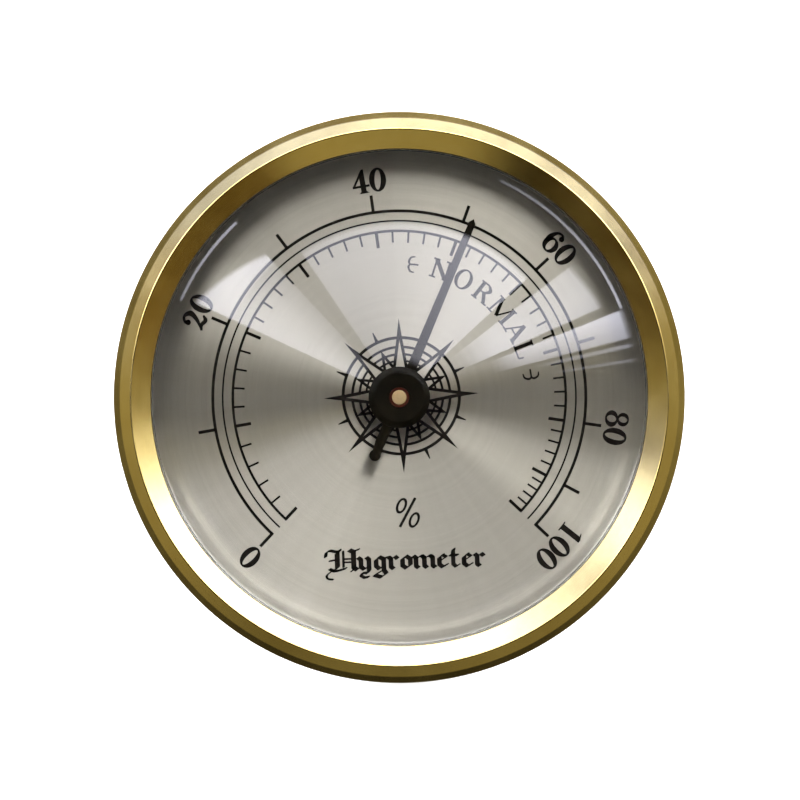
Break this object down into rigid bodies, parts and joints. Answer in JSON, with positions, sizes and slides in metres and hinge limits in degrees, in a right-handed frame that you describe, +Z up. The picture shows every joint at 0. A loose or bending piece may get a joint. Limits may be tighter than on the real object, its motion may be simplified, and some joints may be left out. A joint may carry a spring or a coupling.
{
  "type": "dial hygrometer",
  "caption": "Round brass dial hygrometer for a panel hole, with domed glass, a spun silver dial, a black pointer and a humidity coil movement that can be calibrated from behind.",
  "frame": {"origin": "on the dial's axis, in the plane of the bezel's rear seat face, where the panel's front face lies", "axes": "+Z up on the dial, -Y the way the dial faces, +X to the right seen from the front; +Y runs back through the panel"},
  "size_m": [0.07, 0.0201, 0.07],
  "materials": {
    "bezel_brass": "polished and finely brushed",
    "movement_brass": "turned",
    "dial_silver": "spun, concentric grain",
    "lens_glass": "clear, polished",
    "pointer_black": "semi-gloss black",
    "ring_black": "matt black",
    "case_metal": "drawn, satin",
    "steel": "plated",
    "rubber": "matt",
    "coil_strip": "strip with a matt humidity sensitive coat"
  },
  "bodies": {
    "case": {"bezel": "bezel_brass", "lens_gasket": "rubber", "lens": "lens_glass", "spacer_ring": "ring_black", "dial_plate": "dial_silver", "dial_seat_sleeve": "case_metal", "case_cup": "case_metal", "mounting_gasket": "rubber", "movement_plate": "movement_brass", "front_bush": "movement_brass", "dial_foot_upper": "movement_brass", "dial_foot_lower": "movement_brass", "foot_nut_upper": "steel", "foot_nut_lower": "steel", "pillar_1": "movement_brass", "pillar_2": "movement_brass", "pillar_3": "movement_brass", "bridge": "movement_brass", "pillar_screw_1": "steel", "pillar_screw_2": "steel", "pillar_screw_3": "steel", "friction_washer": "steel"},
    "adjuster": {"calibration_hub": "movement_brass", "calibration_arm": "steel", "coil_stud": "movement_brass", "retaining_ring": "steel", "humidity_coil": "coil_strip"},
    "pointer_assembly": {"pointer": "pointer_black", "pointer_hub_disc": "pointer_black", "pointer_collet": "pointer_black", "arbor": "movement_brass", "coil_collet": "movement_brass"}
  },
  "joints": [
    {"name": "calibration", "type": "hinge", "parent": "case", "child": "adjuster", "pos_m": [0, 0, 0], "axis": [0, 1, 0], "range_deg": [-25, 25]},
    {"name": "humidity", "type": "hinge", "parent": "adjuster", "child": "pointer_assembly", "pos_m": [0, 0, 0], "axis": [0, 1, 0], "range_deg": [-159.7, 110.3], "stiffness_Nm_per_rad": 0.0004, "deforming": ["humidity_coil"]}
  ]
}
